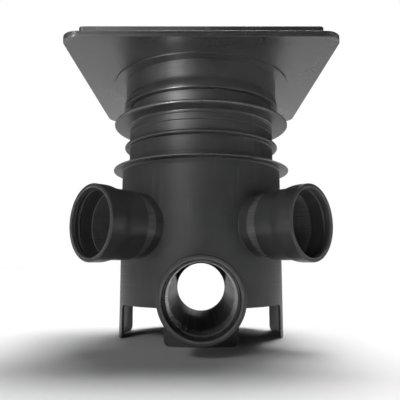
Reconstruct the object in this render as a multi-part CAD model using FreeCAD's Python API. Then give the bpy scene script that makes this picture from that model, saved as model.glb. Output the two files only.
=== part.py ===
import FreeCAD, Part
import math
import os

# Drain inspection chamber with four pipe sockets and a telescopic square frame and cover.
# Millimetres. Z is up and zero is the bed that the feet stand on. The upright axis of the
# shaft is the Z axis. The main run lies along Y, with its inlet towards -Y.

# Pipe that every socket takes
pipe_radius = 55.0
socket_clearance = 0.6
stop_depth = 2.1
insertion_depth = 39.0

# Chamber base
body_radius = 155.0
body_wall = 4.0
body_underside = 60.0
body_top = 314.3
spigot_wall = 3.0
spigot_root_fillet = 1.5
leg_half_angle = 23.2
leg_corner_radius = 10.0
leg_arch_radius = 8.0
channel_flare = 1.3
bench_skin = 4.0
bench_edge_height = 141.0
bench_slope = 6.0
bench_edge_radius = 5.0
bench_rib_offset = 100.0
bench_rib_thickness = 3.0
foot_radius = 22.0
foot_thickness = 4.0

# Flanges with rounded rims, and the collar that holds the riser
wide_flange_overhang = 17.0
narrow_flange_overhang = 9.3
base_flange = 3.8
riser_flange = 7.0
rim_flat = 0.2
flange_root_radius = 2.0
edge_radius = 0.8
collar_wall = 3.1
collar_height = 12.3
sleeve_wall = 5.0
sleeve_depth = 30.3
ledge_thickness = 3.0
riser_play = 0.4

# Riser: how far it stands inside the base's wall, and heights above its foot
riser_inset = 9.0
riser_wall = 4.0
riser_height = 188.0
upper_flange_rise = 116.4
middle_flange_rise = 71.2
groove_width = 1.8
groove_depth = 0.9
upper_groove_rise = 111.0
lower_groove_rise = 98.0

# Ports: how far each mouth stands out from the wall, and the height of its axis
main_axis_height = 82.0
branch_axis_height = 198.0
branch_angle = 45.0
inlet_length = 109.0
outlet_length = 50.0
branch_length = 98.0

# Socket pieces: each is a sleeve welded over a spigot of the base
inlet_sleeve_gap = 25.0
outlet_sleeve_gap = 3.0
sleeve_play = 0.1
tube_wall = 3.0
bell_wall = 3.4
bell_length = 24.0
bell_flare_length = 15.0
bell_blend = 50.0
rim_radius = 2.2
mouth_lip = 6.0
mouth_flare = 1.0
seal_width = 12.0
seal_pocket_depth = 4.6
seal_play = 0.1
seal_standoff = 0.1

# Seal between riser and base
riser_seal_width = 8.0
riser_seal_depth = 3.0
riser_seal_offset = 8.0

# Frame: the neck's lip stands at a height above the riser's foot
plate_size = 452.5
plate_corner = 28.0
plate_thickness = 10.0
plate_edge_radius = 0.8
plate_skin = 4.0
disc_overhang = 22.9
disc_thickness = 2.5
neck_play = 5.3
neck_wall = 3.3
neck_height = 55.0
lip_rise = 150.5
lip_bulge = 3.4
lip_straight = 6.5
lip_taper_length = 14.0
lip_blend = 30.0
lip_gap = 1.0
frame_seal_width = 6.5
frame_seal_inset = 2.5
frame_seal_depth = 5.0
running_gap = 0.3
upstand_height = 10.5
upstand_wall = 6.0
pocket_size = 376.0
pocket_corner = 12.0
frame_rib_count = 16
frame_rib_thickness = 3.0
screw_offset = 170.0
boss_radius = 11.0

# Cover
cover_size = 405.0
cover_corner = 8.0
cover_height = 20.0
cover_skin = 5.0
cover_wall = 4.0
cover_edge_radius = 0.8
cover_gap = 0.5
cover_rib_pitch = 58.0
cover_rib_count = 6
cover_rib_thickness = 2.5
cover_rib_depth = 8.0
gasket_width = 3.0
gasket_inset = 1.5
tread_pitch = 36.0
tread_count = 10
tread_length = 24.0
tread_width = 8.0
tread_height = 1.2

# Screws and threaded inserts
screw_radius = 4.0
screw_hole_play = 0.3
screw_head_radius = 7.8
screw_head_drop = 0.4
screw_length = 23.5
screw_tip_chamfer = 1.0
socket_flats = 5.0
socket_depth = 3.0
insert_radius = 5.6
insert_play = 0.05
insert_length = 12.5

# Sizes that follow from those above
bore_radius = pipe_radius + socket_clearance
channel_radius = bore_radius - stop_depth
spigot_radius = channel_radius + spigot_wall
inner_radius = body_radius - body_wall
wide_flange_radius = body_radius + wide_flange_overhang
riser_radius = inner_radius - riser_inset
riser_bore_radius = riser_radius - riser_wall
narrow_flange_radius = riser_radius + narrow_flange_overhang
sleeve_radius = riser_radius + riser_play
flange_underside = body_top - base_flange
collar_top = body_top + collar_height
riser_foot = body_top - sleeve_depth
tube_radius = spigot_radius + sleeve_play + tube_wall
mouth_radius = bore_radius + mouth_flare
pocket_radius = bore_radius + seal_pocket_depth
bell_radius = pocket_radius + bell_wall
neck_bore_radius = riser_radius + neck_play
neck_radius = neck_bore_radius + neck_wall
lip_radius = neck_radius + lip_bulge
lip_bottom = riser_foot + lip_rise
plate_underside = lip_bottom + neck_height
plate_top = plate_underside + plate_thickness
upstand_top = plate_top + upstand_height
upstand_radius = neck_bore_radius + upstand_wall
cover_top = plate_top + cover_height
cover_underside = cover_top - cover_skin
cover_bottom = plate_top + cover_gap
centre = FreeCAD.Vector(0, 0, 0)
up = FreeCAD.Vector(0, 0, 1)

# Each port: its direction in degrees about Z, the reach of its mouth and of its sleeve's inner
# end from the shaft's axis, and the height of its axis
ports = {
    "main_inlet": (-90.0, body_radius + inlet_length, body_radius + inlet_sleeve_gap, main_axis_height),
    "outlet": (90.0, body_radius + outlet_length, body_radius + outlet_sleeve_gap, main_axis_height),
}
for side, turn in (("left", -branch_angle), ("right", branch_angle)):
    ports["side_inlet_" + side] = (-90.0 + turn, body_radius + branch_length,
                                   body_radius + inlet_sleeve_gap, branch_axis_height)


def corner(before, point, after, radius):
    """Two tangent points and the middle of the arc that rounds one corner."""
    to_before = (before - point).normalize()
    to_after = (after - point).normalize()
    half = to_before.getAngle(to_after) / 2
    bisector = (to_before + to_after).normalize()
    run = radius / math.tan(half)
    middle = point + bisector * (radius / math.sin(half) - radius)
    return point + to_before * run, middle, point + to_after * run


def outline(points):
    """A closed face in the XZ plane from (x, z) or (x, z, rounding radius) corners."""
    places = [FreeCAD.Vector(p[0], 0, p[1]) for p in points]
    radii = [p[2] if len(p) == 3 else 0 for p in points]
    edges = []
    stretches = []
    for i, place in enumerate(places):
        if radii[i]:
            first, middle, last = corner(places[i - 1], place, places[(i + 1) % len(places)], radii[i])
            edges.append(Part.Arc(first, middle, last).toShape())
            stretches.append((first, last))
        else:
            stretches.append((place, place))
    for i, (first, last) in enumerate(stretches):
        following = stretches[(i + 1) % len(stretches)][0]
        if last.distanceToPoint(following) > 1e-6:
            edges.append(Part.makeLine(last, following))
    return Part.Face(Part.Wire(Part.__sortEdges__(edges)))


def turned(points):
    """A solid of revolution about Z from (radius, height) corners."""
    return outline(points).revolve(centre, up, 360)


def ring(inner, outer, bottom, top):
    """A plain ring about Z."""
    disc = Part.makeCylinder(outer, top - bottom, FreeCAD.Vector(0, 0, bottom))
    return disc.cut(Part.makeCylinder(inner, top - bottom, FreeCAD.Vector(0, 0, bottom)))


def square_plate(size, corner_radius, bottom, top):
    """A square plate about Z with rounded corners."""
    plate = Part.makeBox(size, size, top - bottom, FreeCAD.Vector(-size / 2, -size / 2, bottom))
    uprights = [e for e in plate.Edges if abs(e.tangentAt(e.FirstParameter).z) > 0.99]
    return plate.makeFillet(corner_radius, uprights)


def rounded_rim(solid, radius, height):
    """Round the edges of a plate that lie at one height."""
    rim = [e for e in solid.Edges if abs(e.BoundBox.ZMin - height) + abs(e.BoundBox.ZMax - height) < 1e-6]
    return solid.makeFillet(radius, rim)


def aimed(solid, port):
    """Turn a solid that was made along Z so that it lies along a port's axis."""
    angle, _, _, height = ports[port]
    placed = solid.copy()
    placed.rotate(centre, FreeCAD.Vector(0, 1, 0), 90)
    placed.rotate(centre, up, angle)
    placed.translate(FreeCAD.Vector(0, 0, height))
    return placed


def rod(radius, first, last, port):
    """A cylinder on a port's axis between two distances from the shaft's axis."""
    return aimed(Part.makeCylinder(radius, last - first, FreeCAD.Vector(0, 0, first)), port)


def pipe_stop(port):
    """Distance of a spigot's end, which a fitted pipe meets, from the shaft's axis."""
    return ports[port][1] - insertion_depth


def prism(points, depth):
    """An outline drawn in XZ, drawn out along Y to both sides."""
    face = outline(points)
    face.translate(FreeCAD.Vector(0, -depth, 0))
    return face.extrude(FreeCAD.Vector(0, 2 * depth, 0))


def bench_profile(edge, drop, depth, far_height):
    """Corners of the space over, or with a drop the space under, the two sloping benches."""
    brink = edge + channel_flare
    rise = (body_radius - brink) * math.tan(math.radians(bench_slope))
    crest = bench_edge_height - drop
    rounding = bench_edge_radius + drop
    return [
        (-body_radius, crest + rise),
        (-brink, crest, rounding),
        (-edge, depth),
        (edge, depth),
        (brink, crest, rounding),
        (body_radius, crest + rise),
        (body_radius, far_height),
        (-body_radius, far_height),
    ]


def wet_space():
    """Everything inside the base that water or a pipe's flow can reach."""
    shaft = Part.makeCylinder(inner_radius, riser_foot - ledge_thickness)
    space = prism(bench_profile(channel_radius, 0, main_axis_height, body_top), inner_radius).common(shaft)
    for port in ports:
        space = space.fuse(rod(channel_radius, 0, pipe_stop(port), port))
    return space


def dry_space():
    """The hollow under the benches, outside the channel and the side channels."""
    skirt = Part.makeCylinder(inner_radius, body_top)
    trough_radius = channel_radius + bench_skin
    profile = bench_profile(trough_radius, bench_skin, main_axis_height, -1)
    space = prism(profile, inner_radius).common(skirt)
    for port in ports:
        space = space.cut(rod(trough_radius, 0, body_radius, port))
    return space


def leg_windows():
    """The four arches cut through the skirt, which leave a curved leg on each side."""
    half = body_radius * math.sin(math.radians(45 - leg_half_angle))
    profile = outline([
        (-2 * half, -1),
        (2 * half, -1),
        (2 * half, 0),
        (half, 0, leg_corner_radius),
        (half, body_underside, leg_arch_radius),
        (-half, body_underside, leg_arch_radius),
        (-half, 0, leg_corner_radius),
        (-2 * half, 0),
    ])
    window = profile.extrude(FreeCAD.Vector(0, body_radius, 0))
    window.translate(FreeCAD.Vector(0, body_radius / 2, 0))
    windows = []
    for angle in (45, 135, 225, 315):
        turned_window = window.copy()
        turned_window.rotate(centre, up, angle)
        windows.append(turned_window)
    return windows


def base_outside():
    """Skirt and spigots as one outer form, with a fillet where each spigot leaves the wall."""
    form = Part.makeCylinder(body_radius, flange_underside)
    for port in ports:
        form = form.fuse(rod(spigot_radius, 0, pipe_stop(port), port))
    form = form.removeSplitter()
    roots = []
    for edge in form.Edges:
        middle = edge.valueAt((edge.FirstParameter + edge.LastParameter) / 2)
        on_wall = abs(math.hypot(middle.x, middle.y) - body_radius) < 0.01
        level = edge.BoundBox.ZLength < 1e-6
        if on_wall and not level and edge.Curve.TypeId != "Part::GeomLine":
            roots.append(edge)
    return form.makeFillet(spigot_root_fillet, roots)


def rim(radius, bottom, thickness, root_radius):
    """Corners of a flange's outline, from its root below, round its nose, to its root above."""
    nose = (thickness - rim_flat) / 2
    return [
        (root_radius, bottom, flange_root_radius),
        (radius, bottom, nose),
        (radius, bottom + thickness, nose),
        (root_radius, bottom + thickness, flange_root_radius),
    ]


def base_head():
    """Top flange, collar and the sleeve and ledge that the riser stands in."""
    seal_bottom = riser_foot + riser_seal_offset
    seal_top = seal_bottom + riser_seal_width
    inside = flange_underside - edge_radius
    corners = rim(wide_flange_radius, flange_underside, base_flange, body_radius)
    corners[-1] = (sleeve_radius + collar_wall, body_top, flange_root_radius)
    return turned(corners + [
        (sleeve_radius + collar_wall, collar_top, edge_radius),
        (sleeve_radius, collar_top, edge_radius),
        (sleeve_radius, seal_top),
        (sleeve_radius + riser_seal_depth, seal_top),
        (sleeve_radius + riser_seal_depth, seal_bottom),
        (sleeve_radius, seal_bottom),
        (sleeve_radius, riser_foot),
        (riser_bore_radius, riser_foot, edge_radius),
        (riser_bore_radius, riser_foot - ledge_thickness, edge_radius),
        (sleeve_radius + sleeve_wall, riser_foot - ledge_thickness, flange_root_radius),
        (sleeve_radius + sleeve_wall, inside, edge_radius),
        (inner_radius, inside, edge_radius),
        (inner_radius, flange_underside - 2 * body_wall),
        (body_radius, flange_underside - 2 * body_wall),
    ])


def centre_foot():
    """Round pad on the bed with crossed webs up to the channel."""
    height = main_axis_height - channel_radius
    pad = Part.makeCylinder(foot_radius, foot_thickness)
    side = 2 * foot_radius - foot_thickness
    for width, length in ((side, foot_thickness), (foot_thickness, side)):
        pad = pad.fuse(Part.makeBox(width, length, height, FreeCAD.Vector(-width / 2, -length / 2, 0)))
    return pad


def chamber_base():
    """The one-piece moulded base: skirt, legs, channel, benches, spigots and the riser's collar."""
    wet = wet_space()
    walls = base_outside().cut(Part.makeCylinder(inner_radius, 2 * body_top, FreeCAD.Vector(0, 0, -1)))
    walls = walls.fuse(base_head()).removeSplitter()
    for window in leg_windows():
        walls = walls.cut(window)
    for port in ports:
        walls = walls.cut(rod(channel_radius, 0, pipe_stop(port), port))
    overlap = body_wall / 2
    core = Part.makeCylinder(inner_radius + overlap, branch_axis_height - body_underside,
                             FreeCAD.Vector(0, 0, body_underside))
    trough = rod(channel_radius + bench_skin, -inner_radius - overlap, inner_radius + overlap, "outlet")
    floor = core.fuse(trough).cut(wet).cut(dry_space())
    base = walls.fuse(floor).fuse(centre_foot().cut(wet))
    for side in (-1, 1):
        place = side * bench_rib_offset - bench_rib_thickness / 2
        rib = Part.makeBox(2 * body_radius, bench_rib_thickness, bench_edge_height - body_underside,
                           FreeCAD.Vector(-body_radius, place, body_underside))
        base = base.fuse(rib.common(core).cut(wet))
    return base


def bell():
    """Corners of a socket's outside where its tube widens to its mouth, without the reach."""
    growth = bell_radius - tube_radius
    half_turn = math.atan2(growth, bell_flare_length) / 2
    blend = min(bell_blend, 0.45 * bell_flare_length / math.tan(half_turn))
    return (tube_radius, -bell_length - bell_flare_length, blend), (bell_radius, -bell_length, blend)


def socket_piece(port):
    """One push-fit socket: a sleeve over a spigot, a bore up to the pipe stop and a seal's pocket."""
    _, reach, near, _ = ports[port]
    pocket_end = reach - mouth_lip
    step = pipe_stop(port) + sleeve_play
    widening = [(radius, reach + along, blend) for radius, along, blend in bell()]
    return aimed(turned([
        (spigot_radius + sleeve_play, near),
        (tube_radius, near, edge_radius),
        *widening,
        (bell_radius, reach, rim_radius),
        (mouth_radius, reach, edge_radius),
        (mouth_radius, pocket_end),
        (pocket_radius, pocket_end),
        (pocket_radius, pocket_end - seal_width),
        (bore_radius, pocket_end - seal_width),
        (bore_radius, step),
        (spigot_radius + sleeve_play, step),
    ]), port)


def socket_seal(port):
    """Rubber ring in a socket's pocket, with its two lips pressed back as by a fitted pipe."""
    top = ports[port][1] - mouth_lip - seal_play
    bottom = top - seal_width + 2 * seal_play
    inside = bore_radius - seal_standoff
    outside = pocket_radius - seal_play
    lip = (top - bottom) / 4
    root = (inside + outside) / 2
    return aimed(turned([
        (outside, bottom),
        (outside, top),
        (inside + seal_standoff, top, edge_radius),
        (inside, top - lip / 2, edge_radius / 2),
        (inside, top - lip),
        (root, top - 1.5 * lip, edge_radius / 2),
        (root, top - 2 * lip, edge_radius / 2),
        (inside, bottom + lip),
        (inside, bottom + lip / 2, edge_radius / 2),
        (inside + seal_standoff, bottom, edge_radius),
    ]), port)


def riser():
    """Thin-walled shaft ring with its upper and middle flanges and shallow depth marks."""
    corners = [(riser_bore_radius, riser_foot), (riser_radius, riser_foot, edge_radius)]
    corners += rim(narrow_flange_radius, riser_foot + middle_flange_rise, riser_flange, riser_radius)
    for rise in (lower_groove_rise, upper_groove_rise):
        corners += [
            (riser_radius, riser_foot + rise - groove_width / 2),
            (riser_radius - groove_depth, riser_foot + rise),
            (riser_radius, riser_foot + rise + groove_width / 2),
        ]
    corners += rim(wide_flange_radius, riser_foot + upper_flange_rise, riser_flange, riser_radius)
    corners += [
        (riser_radius, riser_foot + riser_height, 2 * edge_radius),
        (riser_bore_radius, riser_foot + riser_height, edge_radius),
    ]
    return turned(corners)


def riser_seal():
    """Rubber ring in the base's sleeve, round the foot of the riser."""
    bottom = riser_foot + riser_seal_offset + seal_play
    top = bottom + riser_seal_width - 2 * seal_play
    return turned([
        (riser_radius + seal_play, bottom, edge_radius),
        (sleeve_radius + riser_seal_depth - seal_play, bottom, edge_radius),
        (sleeve_radius + riser_seal_depth - seal_play, top, edge_radius),
        (riser_radius + seal_play, top, edge_radius),
    ])


def frame_neck():
    """Round neck with the lip that holds its seal below and the cover's seat above."""
    seal_bottom = lip_bottom + frame_seal_inset
    seal_top = seal_bottom + frame_seal_width
    seal_back = riser_radius + lip_gap + frame_seal_depth
    taper_bottom = lip_bottom + lip_straight
    seat_inner = neck_bore_radius + gasket_inset
    return turned([
        (riser_radius + lip_gap, lip_bottom, edge_radius),
        (lip_radius, lip_bottom, 2 * edge_radius),
        (lip_radius, taper_bottom, lip_blend),
        (neck_radius, taper_bottom + lip_taper_length, lip_blend),
        (neck_radius, plate_underside + plate_skin / 2),
        (upstand_radius, plate_underside + plate_skin / 2),
        (upstand_radius, upstand_top, edge_radius),
        (seat_inner + gasket_width, upstand_top),
        (seat_inner + gasket_width, upstand_top - gasket_inset),
        (seat_inner, upstand_top - gasket_inset),
        (seat_inner, upstand_top),
        (neck_bore_radius, upstand_top, edge_radius),
        (neck_bore_radius, seal_top + neck_wall, neck_wall / 2),
        (riser_radius + lip_gap, seal_top + neck_wall / 2, edge_radius / 2),
        (riser_radius + lip_gap, seal_top),
        (seal_back, seal_top),
        (seal_back, seal_bottom),
        (riser_radius + lip_gap, seal_bottom),
    ])


def screw_places():
    """The four screw axes, one near each corner of the cover."""
    return [(x * screw_offset, y * screw_offset) for x, y in ((-1, -1), (1, -1), (1, 1), (-1, 1))]


def frame():
    """Square bearing plate, ribbed under the cover, with its neck and four screw bosses."""
    plate = square_plate(plate_size, plate_corner, plate_underside, plate_top)
    plate = rounded_rim(rounded_rim(plate, plate_edge_radius, plate_top), plate_edge_radius, plate_underside)
    floor = plate_underside + plate_skin
    pocket = square_plate(pocket_size, pocket_corner, floor, plate_top)
    pocket = pocket.cut(Part.makeCylinder(upstand_radius, plate_thickness, FreeCAD.Vector(0, 0, floor)))
    reach = pocket_size
    for i in range(frame_rib_count):
        rib = Part.makeBox(reach, frame_rib_thickness, plate_thickness,
                           FreeCAD.Vector(0, -frame_rib_thickness / 2, floor))
        rib.rotate(centre, up, (i + 0.5) * 360 / frame_rib_count)
        pocket = pocket.cut(rib)
    plate = plate.cut(pocket)
    plate = plate.fuse(Part.makeCylinder(neck_radius + disc_overhang, disc_thickness + plate_skin / 2,
                                         FreeCAD.Vector(0, 0, plate_underside - disc_thickness)))
    for x, y in screw_places():
        plate = plate.fuse(Part.makeCylinder(boss_radius, upstand_top - floor, FreeCAD.Vector(x, y, floor)))
    plate = plate.cut(Part.makeCylinder(neck_bore_radius, plate_size, FreeCAD.Vector(0, 0, lip_bottom)))
    plate = plate.fuse(frame_neck())
    for x, y in screw_places():
        hole = Part.makeCylinder(insert_radius + insert_play, insert_length,
                                 FreeCAD.Vector(x, y, upstand_top - insert_length))
        plate = plate.cut(hole)
        clear = cover_top - screw_head_drop - screw_length - screw_tip_chamfer
        plate = plate.cut(Part.makeCylinder(screw_radius + screw_hole_play, upstand_top - clear,
                                            FreeCAD.Vector(x, y, clear)))
    return plate.removeSplitter()


def frame_seal():
    """Rubber wiper ring in the neck's lip, which runs on the riser."""
    bottom = lip_bottom + frame_seal_inset + seal_play
    top = bottom + frame_seal_width - 2 * seal_play
    inside = riser_radius + running_gap
    outside = riser_radius + lip_gap + frame_seal_depth - seal_play
    groove = (inside + outside) / 2
    middle = (bottom + top) / 2
    return turned([
        (inside, bottom, edge_radius),
        (outside, bottom),
        (outside, top),
        (inside, top, edge_radius),
        (inside, middle + edge_radius),
        (groove, middle),
        (inside, middle - edge_radius),
    ])


def tread():
    """Raised lozenges, turned alternately, over the top of the cover."""
    lozenge = Part.Face(Part.makePolygon([
        FreeCAD.Vector(-tread_length / 2, 0, 0),
        FreeCAD.Vector(0, -tread_width / 2, 0),
        FreeCAD.Vector(tread_length / 2, 0, 0),
        FreeCAD.Vector(0, tread_width / 2, 0),
        FreeCAD.Vector(-tread_length / 2, 0, 0),
    ])).extrude(FreeCAD.Vector(0, 0, 2 * tread_height))
    pads = []
    first = -(tread_count - 1) / 2 * tread_pitch
    for i in range(tread_count):
        for j in range(tread_count):
            x = first + i * tread_pitch
            y = first + j * tread_pitch
            near_screw = min(math.hypot(x - sx, y - sy) for sx, sy in screw_places())
            if near_screw < tread_length:
                continue
            pad = lozenge.copy()
            pad.rotate(centre, up, 45 + 90 * ((i + j) % 2))
            pad.translate(FreeCAD.Vector(x, y, cover_top - tread_height))
            pads.append(pad)
    return pads


def cover():
    """Square cover with a skirt, ribs beneath, screw bosses and a raised tread."""
    body = square_plate(cover_size, cover_corner, cover_bottom, cover_top)
    body = rounded_rim(body, cover_edge_radius, cover_top)
    hollow_size = cover_size - 2 * cover_wall
    hollow = square_plate(hollow_size, cover_corner - cover_wall, cover_bottom, cover_underside)
    seat = ring(neck_bore_radius - cover_wall / 2, upstand_radius + cover_wall / 2,
                cover_bottom, cover_underside)
    first = -(cover_rib_count - 1) / 2 * cover_rib_pitch
    ribs = []
    for i in range(cover_rib_count):
        place = first + i * cover_rib_pitch - cover_rib_thickness / 2
        bottom = cover_underside - cover_rib_depth
        ribs.append(Part.makeBox(hollow_size, cover_rib_thickness, cover_rib_depth,
                                 FreeCAD.Vector(-hollow_size / 2, place, bottom)))
        ribs.append(Part.makeBox(cover_rib_thickness, hollow_size, cover_rib_depth,
                                 FreeCAD.Vector(place, -hollow_size / 2, bottom)))
    grid = ribs[0].multiFuse(ribs[1:]).cut(seat)
    for x, y in screw_places():
        grid = grid.cut(Part.makeCylinder(boss_radius + cover_gap, cover_skin + cover_rib_depth,
                                          FreeCAD.Vector(x, y, cover_underside - cover_rib_depth)))
        grid = grid.fuse(Part.makeCylinder(boss_radius, cover_underside - upstand_top,
                                           FreeCAD.Vector(x, y, upstand_top)))
    body = body.cut(hollow.cut(grid))
    body = body.multiFuse(tread())
    for x, y in screw_places():
        head_top = cover_top - screw_head_drop
        cone = head_top - (screw_head_radius - screw_radius)
        hole = turned([
            (0, upstand_top),
            (screw_radius + screw_hole_play, upstand_top),
            (screw_radius + screw_hole_play, cone),
            (screw_head_radius + screw_hole_play, head_top),
            (screw_head_radius + screw_hole_play, cover_top + tread_height),
            (0, cover_top + tread_height),
        ])
        hole.translate(FreeCAD.Vector(x, y, 0))
        body = body.cut(hole)
    return body.removeSplitter()


def cover_gasket():
    """Square-section rubber ring between the neck's seat and the cover."""
    inner = neck_bore_radius + gasket_inset + seal_play
    outer = inner + gasket_width - 2 * seal_play
    bottom = upstand_top - gasket_inset
    return turned([
        (inner, bottom),
        (outer, bottom),
        (outer, cover_underside, edge_radius),
        (inner, cover_underside, edge_radius),
    ])


def cover_screw(x, y):
    """Countersunk socket screw."""
    head_top = cover_top - screw_head_drop
    cone = head_top - (screw_head_radius - screw_radius)
    tip = head_top - screw_length
    screw = turned([
        (0, tip),
        (screw_radius - screw_tip_chamfer, tip),
        (screw_radius, tip + screw_tip_chamfer),
        (screw_radius, cone),
        (screw_head_radius, head_top),
        (0, head_top),
    ])
    half_corners = socket_flats / math.sqrt(3)
    corners = []
    for i in range(7):
        angle = math.radians(60 * i)
        corners.append(FreeCAD.Vector(half_corners * math.cos(angle), half_corners * math.sin(angle),
                                      head_top - socket_depth))
    socket = Part.Face(Part.makePolygon(corners)).extrude(FreeCAD.Vector(0, 0, socket_depth))
    screw = screw.cut(socket)
    screw.translate(FreeCAD.Vector(x, y, 0))
    return screw


def cover_insert(x, y):
    """Brass threaded insert in a boss of the frame."""
    bush = ring(screw_radius + insert_play, insert_radius, upstand_top - insert_length, upstand_top)
    bush.translate(FreeCAD.Vector(x, y, 0))
    return bush


def save(name, solid):
    """Write one piece and print what it is made of."""
    solid.exportStep(os.path.join("parts", name + ".step"))
    volume = round(solid.Volume / 1000, 1)
    print(name, "solids", len(solid.Solids), "valid", solid.isValid(), "volume", volume)


os.makedirs("parts", exist_ok=True)
save("chamber_base", chamber_base())
for port in ports:
    save(port + "_socket", socket_piece(port))
    save(port + "_seal", socket_seal(port))
save("riser", riser())
save("riser_seal", riser_seal())
save("frame", frame())
save("frame_seal", frame_seal())
save("cover", cover())
save("cover_gasket", cover_gasket())
for number, (x, y) in enumerate(screw_places(), 1):
    save("cover_screw_%d" % number, cover_screw(x, y))
    save("cover_insert_%d" % number, cover_insert(x, y))
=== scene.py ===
import bpy
import math
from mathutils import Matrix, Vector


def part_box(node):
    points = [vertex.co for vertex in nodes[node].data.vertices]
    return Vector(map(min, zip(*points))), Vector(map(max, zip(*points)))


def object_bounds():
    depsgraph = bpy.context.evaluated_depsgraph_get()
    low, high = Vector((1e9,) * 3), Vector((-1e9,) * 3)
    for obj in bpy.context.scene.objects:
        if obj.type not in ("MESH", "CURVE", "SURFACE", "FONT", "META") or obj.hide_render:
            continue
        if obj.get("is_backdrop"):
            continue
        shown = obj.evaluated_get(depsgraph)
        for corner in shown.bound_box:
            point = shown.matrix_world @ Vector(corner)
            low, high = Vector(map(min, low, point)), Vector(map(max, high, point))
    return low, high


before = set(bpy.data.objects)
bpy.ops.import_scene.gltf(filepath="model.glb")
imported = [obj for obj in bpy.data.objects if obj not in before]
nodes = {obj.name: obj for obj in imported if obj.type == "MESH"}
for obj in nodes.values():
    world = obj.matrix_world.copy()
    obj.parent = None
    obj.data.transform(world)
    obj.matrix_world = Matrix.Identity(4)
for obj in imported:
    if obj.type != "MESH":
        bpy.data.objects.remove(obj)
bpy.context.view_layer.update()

# Chamber base
# The skirt on its four legs, the benches, the channel and the spigots are one moulding in black
# polypropylene. The mould leaves a fine satin grain, and the melt's flow shows as slow changes of
# sheen. The outer rim of its flange and the feet are rubbed a little by handling.
base_black = (0.0430, 0.0433, 0.0440, 1.0)
base_pale = (0.0640, 0.0643, 0.0650, 1.0)
# Paler grey for rubbed wear, and at the sockets' mouths for a painted highlight
wear_and_highlight_grey = (0.150, 0.150, 0.151, 1.0)
base_roughness = 0.42
base_grain = 0.5
plastic_ior = 1.49
upright = (0, 0, 1)
flange_reach = 0.172
rim_width = 0.0012
foot_height = 0.003
foot_rub = 0.6

# Scale and detail of each noise in the plastic
flow_noise = (11.0, 4.0)
ripple_noise = (150.0, 2.0)
speck_noise = (1100.0, 2.0)
line_noise = (420.0, 5.0)
scratch_noise = (90.0, 6.0)
scratch_stretch = (1.0, 0.9, 0.07)
noise_mean = 0.5

# Where each effect sets in and where it is full, and the even part of the wear and of the painted
# highlight
flow_limits = (0.32, 0.68)
scratch_limits = (0.60, 0.74)
wear_and_highlight_limits = (0.2, 1.0)
even_wear_and_highlight = 0.35

# How much each effect changes the colour, the relief and the roughness
scratch_paleness = 0.3
wear_and_highlight_paleness = 0.9
ripple_height = 0.6
line_height = 0.3
relief_depth = 0.00010
flow_dulling = 0.07
speck_dulling = 0.12
line_dulling = 0.30
scratch_dulling = 0.08
wear_polish = 0.12


class Link:
    """One value on its way through a finish. Each step of arithmetic becomes a Math node."""

    def __init__(self, finish, socket):
        self.finish = finish
        self.socket = socket

    def step(self, operation, first, second):
        return self.finish.node("ShaderNodeMath", {"operation": operation}, {0: first, 1: second})

    def __add__(self, other):
        return self.step("ADD", self, other)

    def __radd__(self, other):
        return self.step("ADD", other, self)

    def __sub__(self, other):
        return self.step("SUBTRACT", self, other)

    def __rsub__(self, other):
        return self.step("SUBTRACT", other, self)

    def __mul__(self, other):
        return self.step("MULTIPLY", self, other)


class Finish:
    """The shader of one material or sky while it is put together."""

    def __init__(self, owner):
        owner.use_nodes = True
        self.tree = owner.node_tree
        self.tree.nodes.clear()

    def node(self, kind, settings, feeds, output=0):
        """Add a node, set it up, feed its sockets and hand back one of its outputs."""
        made = self.tree.nodes.new(kind)
        for name, value in settings.items():
            setattr(made, name, value)
        for name, value in feeds.items():
            if isinstance(value, Link):
                self.tree.links.new(value.socket, made.inputs[name])
            else:
                made.inputs[name].default_value = value
        return Link(self, made.outputs[output])

    def place(self):
        return self.node("ShaderNodeTexCoord", {}, {}, "Object")

    def vector_step(self, operation, first, second=(0, 0, 0), output=0):
        return self.node("ShaderNodeVectorMath", {"operation": operation}, {0: first, 1: second}, output)

    def noise(self, place, scale, detail):
        return self.node("ShaderNodeTexNoise", {}, {"Vector": place, "Scale": scale, "Detail": detail})

    def lines(self, distance, scale, detail):
        """A noise that changes only with one distance, so that it draws lines."""
        feeds = {"W": distance, "Scale": scale, "Detail": detail}
        return self.node("ShaderNodeTexNoise", {"noise_dimensions": "1D"}, feeds)

    def ramp(self, value, low, high):
        """Nought below one value, one above another, with a smooth step between."""
        feeds = {"Value": value, "From Min": low, "From Max": high}
        return self.node("ShaderNodeMapRange", {"interpolation_type": "SMOOTHSTEP"}, feeds)

    def blend(self, share, first, second):
        """A colour between two colours."""
        return self.node("ShaderNodeMix", {"data_type": "RGBA"}, {0: share, 6: first, 7: second}, 2)

    def bump(self, height, strength, depth):
        feeds = {"Height": height, "Strength": strength, "Distance": depth}
        return self.node("ShaderNodeBump", {}, feeds, "Normal")

    def along(self, place, direction):
        """How far a point lies along a direction from the origin."""
        return self.vector_step("DOT_PRODUCT", place, direction, 1)

    def out_from(self, place, direction, height=0.0):
        """How far a point lies from an axis that leaves the shaft's axis at a height."""
        lifted = self.vector_step("SUBTRACT", place, (0, 0, height))
        across = self.vector_step("CROSS_PRODUCT", lifted, direction)
        return self.vector_step("LENGTH", across, output=1)

    def close(self, shader, kind="ShaderNodeOutputMaterial"):
        self.tree.links.new(shader.socket, self.tree.nodes.new(kind).inputs["Surface"])


def give(material, *names):
    """Put a finish on carried-over parts."""
    for name in names:
        for slot in nodes[name].material_slots:
            slot.material = material


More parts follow.
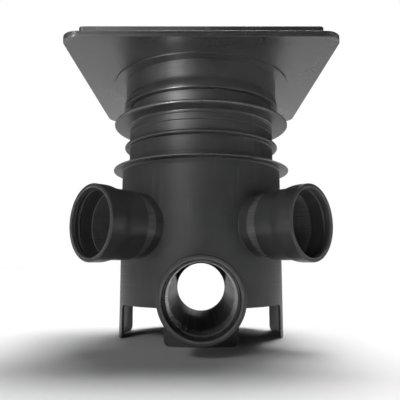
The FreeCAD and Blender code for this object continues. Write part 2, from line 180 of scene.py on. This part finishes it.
def moulded(name, dark, pale, roughness, grain, draw, wear_and_highlight):
    """Moulded black plastic. Faint lines run across draw, the way the mould opened. The last function
    gives from the place how far the plastic is worn, and at sockets' mouths a painted highlight."""
    material = bpy.data.materials.new(name)
    finish = Finish(material)
    place = finish.place()
    flow = finish.ramp(finish.noise(place, *flow_noise), *flow_limits)
    ripple = finish.noise(place, *ripple_noise)
    speck = finish.noise(place, *speck_noise)
    lines = finish.lines(finish.along(place, draw), *line_noise)
    stretched = finish.node("ShaderNodeMapping", {}, {"Vector": place, "Scale": scratch_stretch})
    scratch = finish.ramp(finish.noise(stretched, *scratch_noise), *scratch_limits)
    # Wear where the plastic is rubbed, and at the sockets' mouths a painted highlight
    wear_and_highlight_mask = finish.ramp(wear_and_highlight(finish, place) * (even_wear_and_highlight + ripple), *wear_and_highlight_limits)
    colour = finish.blend(flow, dark, pale)
    paleness = scratch * scratch_paleness + wear_and_highlight_mask * wear_and_highlight_paleness
    relief = ripple * ripple_height + speck * grain + lines * line_height
    dulled = (
        roughness
        + (flow - noise_mean) * flow_dulling
        + (speck - noise_mean) * speck_dulling
        + (lines - noise_mean) * line_dulling
        + scratch * scratch_dulling
        - wear_and_highlight_mask * wear_polish
    )
    finish.close(finish.node("ShaderNodeBsdfPrincipled", {}, {
        "Base Color": finish.blend(paleness, colour, wear_and_highlight_grey),
        "Roughness": dulled,
        "IOR": plastic_ior,
        "Normal": finish.bump(relief, 1.0, relief_depth),
    }))
    return material


def rim_rub(finish, place):
    """Rubbed at the outer rims of the two wide flanges."""
    return finish.ramp(finish.out_from(place, upright), flange_reach - rim_width, flange_reach)


def base_rub(finish, place):
    feet = 1.0 - finish.ramp(finish.along(place, upright), 0.0, foot_height)
    return rim_rub(finish, place) + feet * foot_rub


base_plastic = moulded(
    "chamber base plastic", base_black, base_pale, base_roughness, base_grain, upright, base_rub)
give(base_plastic, "chamber_base")


# Riser
# A separate moulding in the same polypropylene, pushed into the base's collar. Its two flanges
# stiffen it in the ground. The upper one stands out as far as the base's and is rubbed like it.
riser_roughness = 0.42
riser_grain = 0.4
riser_plastic = moulded(
    "riser plastic", base_black, base_pale, riser_roughness, riser_grain, upright, rim_rub)
give(riser_plastic, "riser")


# Push-fit sockets
# Four moulded sleeves welded over the base's spigots. Each swells towards its mouth to hold a seal.
# A pale ring at the inner edge of each mouth is a painted highlight of the lit rim.
socket_roughness = 0.38
socket_grain = 0.4
diagonal = math.sqrt(0.5)
mouth_edge = 0.0580
# Width, start and full strength of the painted highlight at the mouth's inner edge
highlight_width = 0.0022
highlight_start = 0.0040
highlight_full = 0.0025

# The direction, reach and height of each port's mouth
mouths = {
    "main_inlet": ((0, -1, 0), 0.264, 0.082),
    "outlet": ((0, 1, 0), 0.205, 0.082),
    "side_inlet_left": ((-diagonal, -diagonal, 0), 0.253, 0.198),
    "side_inlet_right": ((diagonal, -diagonal, 0), 0.253, 0.198),
}
for port, (direction, reach, height) in mouths.items():
    def mouth_highlight(finish, place):
        """A painted highlight close to the mouth's front, but not on its outer side."""
        front = finish.ramp(finish.along(place, direction), reach - highlight_start, reach - highlight_full)
        distance = finish.out_from(place, direction, height)
        outer = finish.ramp(distance, mouth_edge, mouth_edge + highlight_width)
        return front - outer

    socket_plastic = moulded(
        port + " plastic", base_black, base_pale, socket_roughness, socket_grain, direction, mouth_highlight)
    give(socket_plastic, port + "_socket")


# Ring seals and gasket
# Black synthetic rubber with a smooth moulded skin and a trace of pale bloom. They sit in the
# sockets, in the base's collar, in the neck's lip and under the cover.
rubber_black = (0.0300, 0.0300, 0.0302, 1.0)
rubber_bloom = (0.0460, 0.0460, 0.0460, 1.0)
rubber_roughness = 0.52
rubber_ior = 1.52
bloom_noise = (60.0, 5.0)
bloom_limits = (0.45, 0.70)
bloom_dulling = 0.12
dimple_noise = (1400.0, 2.0)
dimple_dulling = 0.08
dimple_depth = 0.00004
rubber = bpy.data.materials.new("seal rubber")
skin = Finish(rubber)
skin_place = skin.place()
bloom = skin.ramp(skin.noise(skin_place, *bloom_noise), *bloom_limits)
dimples = skin.noise(skin_place, *dimple_noise)
skin.close(skin.node("ShaderNodeBsdfPrincipled", {}, {
    "Base Color": skin.blend(bloom, rubber_black, rubber_bloom),
    "Roughness": rubber_roughness + bloom * bloom_dulling + (dimples - noise_mean) * dimple_dulling,
    "IOR": rubber_ior,
    "Normal": skin.bump(dimples, 1.0, dimple_depth),
}))
give(rubber, "cover_gasket", *[name for name in nodes if name.endswith("_seal")])


# Frame
# The square plate and its neck are one moulding in black polypropylene, glossier than the base. The
# neck slides over the riser, and the plate's four corners are rubbed.
frame_black = (0.0380, 0.0383, 0.0390, 1.0)
frame_pale = (0.0560, 0.0563, 0.0570, 1.0)
frame_roughness = 0.33
frame_grain = 0.5
corner_reach = 0.290
corner_width = 0.025


def frame_rub(finish, place):
    quarter = finish.vector_step("ABSOLUTE", place)
    outward = finish.along(quarter, (diagonal, diagonal, 0))
    return finish.ramp(outward, corner_reach, corner_reach + corner_width)


frame_plastic = moulded(
    "frame plastic", frame_black, frame_pale, frame_roughness, frame_grain, upright, frame_rub)
give(frame_plastic, "frame")


# Cover
# A ribbed moulding in the same plastic, held by four screws. Shoes polish the raised lozenges on
# its top and leave the hollows between them dull.
cover_roughness = 0.45
cover_grain = 0.8
cover_draw = (1, 0, 0)
polish_bottom = 0.5199
lozenge_top = 0.5207


def cover_rub(finish, place):
    return finish.ramp(finish.along(place, upright), polish_bottom, lozenge_top)


cover_plastic = moulded(
    "cover plastic", frame_black, frame_pale, cover_roughness, cover_grain, cover_draw, cover_rub)
give(cover_plastic, "cover")


# Cover screws and threaded inserts
# Countersunk stainless screws with lathe marks on their heads, in turned brass bushes that are
# pressed into the frame's bosses.
steel_bright = (0.58, 0.58, 0.57, 1.0)
steel_dull = (0.42, 0.42, 0.41, 1.0)
steel_roughness = 0.22
brass_bright = (0.72, 0.54, 0.26, 1.0)
brass_dull = (0.50, 0.36, 0.16, 1.0)
brass_roughness = 0.28
lathe_pitch = 0.0004
ring_distortion = 0.4
ring_strength = 0.4
ring_depth = 0.00002
ring_dulling = 0.05
tarnish_noise = (500.0, 4.0)
tarnish_limits = (0.4, 0.75)
tarnish_dulling = 0.12

# How long one wave of the wave texture is at a scale of 1
wave_length = 0.31


def turned_metal(name, bright, dull, roughness, axis):
    """Metal with fine rings round an upright axis."""
    material = bpy.data.materials.new(name)
    finish = Finish(material)
    centred = finish.node("ShaderNodeMapping", {}, {
        "Vector": finish.place(), "Location": (-axis[0], -axis[1], 0)})
    rings = finish.node("ShaderNodeTexWave", {"wave_type": "RINGS", "rings_direction": "Z"}, {
        "Vector": centred, "Scale": wave_length / lathe_pitch, "Distortion": ring_distortion})
    tarnish = finish.noise(centred, *tarnish_noise)
    finish.close(finish.node("ShaderNodeBsdfPrincipled", {}, {
        "Base Color": finish.blend(finish.ramp(tarnish, *tarnish_limits), bright, dull),
        "Metallic": 1.0,
        "Roughness": roughness + tarnish * tarnish_dulling + rings * ring_dulling,
        "Normal": finish.bump(rings, ring_strength, ring_depth),
    }))
    return material


for number in range(1, 5):
    low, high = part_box("cover_screw_%d" % number)
    axis = ((low[0] + high[0]) / 2, (low[1] + high[1]) / 2)
    steel = turned_metal("screw steel %d" % number, steel_bright, steel_dull, steel_roughness, axis)
    give(steel, "cover_screw_%d" % number)
    brass = turned_metal("insert brass %d" % number, brass_bright, brass_dull, brass_roughness, axis)
    give(brass, "cover_insert_%d" % number)


# Studio
# A wide pale floor under broad soft lights, high behind the chamber and weak in front of it. A
# strip and a spot at the front left, the spot for gloss only, leave a streak down the neck and the
# riser. The camera sees a white sky, which gives off hardly any light.
floor_size = 40.0
floor_white = (0.84, 0.84, 0.84, 1.0)
floor_roughness = 0.8
room_white = (1.0, 1.0, 1.0, 1.0)
room_dim = (0.015, 0.015, 0.015, 1.0)
strip_power = 8.0
strip_size = (0.2, 0.5)
strip_place = (-1.19, -1.83, 1.46)
strip_tilt = 61
strip_turn = -33
spot_power = 1000.0
spot_width = 7
spot_radius = 0.06
spot_place = (-1.49, -2.09, 0.44)
spot_tilt = 91.6
spot_turn = -36

# The strength of each far light, and in degrees its width, its height over the horizon and how far
# it is turned from the front towards the right
far_lights = {
    "high light 145": (1.18, 22, 67, 145),
    "high light 165": (1.18, 22, 67, 165),
    "high light 185": (1.18, 22, 67, 185),
    "low back light": (0.65, 24, 36, 160),
    "front left light": (0.36, 30, 8, 335),
    "left light": (0.18, 50, 8, 300),
}

bpy.ops.mesh.primitive_plane_add(size=floor_size, location=(0, 0, 0))
floor = bpy.context.object
floor.name = "studio_floor"
floor_paint = bpy.data.materials.new("studio floor")
paint = Finish(floor_paint)
paint.close(paint.node("ShaderNodeBsdfPrincipled", {}, {
    "Base Color": floor_white, "Roughness": floor_roughness, "Specular IOR Level": 0.0}))
floor.data.materials.append(floor_paint)
floor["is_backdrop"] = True

room = bpy.data.worlds.new("studio")
bpy.context.scene.world = room
sky = Finish(room)
seen = sky.node("ShaderNodeLightPath", {}, {}, "Is Camera Ray")
shade = sky.blend(seen, room_dim, room_white)
backdrop = sky.node("ShaderNodeBackground", {}, {"Color": shade, "Strength": 1.0})
sky.close(backdrop, "ShaderNodeOutputWorld")


def light_up(name, kind, energy, tilt, turn, place=(0, 0, 0)):
    """Add a light that shines down at tilt 0 and level, from the front, at tilt 90 and turn 0."""
    holder = bpy.data.objects.new(name, bpy.data.lights.new(name, kind))
    holder.data.energy = energy
    holder.location = place
    holder.rotation_euler = (math.radians(tilt), 0, math.radians(turn))
    bpy.context.scene.collection.objects.link(holder)
    return holder


for name, (strength, width, rise, turn) in far_lights.items():
    far_light = light_up(name, "SUN", strength, 90 - rise, turn)
    far_light.data.angle = math.radians(width)

strip = light_up("strip", "AREA", strip_power, strip_tilt, strip_turn, strip_place)
strip.data.shape = "RECTANGLE"
strip.data.size = strip_size[0]
strip.data.size_y = strip_size[1]

spot = light_up("spot", "SPOT", spot_power, spot_tilt, spot_turn, spot_place)
spot.data.spot_size = math.radians(spot_width)
spot.data.spot_blend = 1.0
spot.data.shadow_soft_size = spot_radius
spot.visible_diffuse = False

# Camera
# As low as the inlets and close in front, tilted up a little so that the plate shows from below.
camera_place = (-0.00207, -0.9404, 0.1288)
camera_tilt = 7.883
lens_length = 42.97
sensor_width = 36.0
nearest = 0.01
farthest = 100.0
camera_data = bpy.data.cameras.new("camera")
camera_data.lens = lens_length
camera_data.sensor_width = sensor_width
camera_data.clip_start = nearest
camera_data.clip_end = farthest
camera = bpy.data.objects.new("camera", camera_data)
bpy.context.scene.collection.objects.link(camera)
camera.location = camera_place
camera.rotation_euler = (math.radians(90 + camera_tilt), 0, 0)
bpy.context.scene.camera = camera
bpy.context.scene.view_settings.view_transform = "Standard"

low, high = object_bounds()
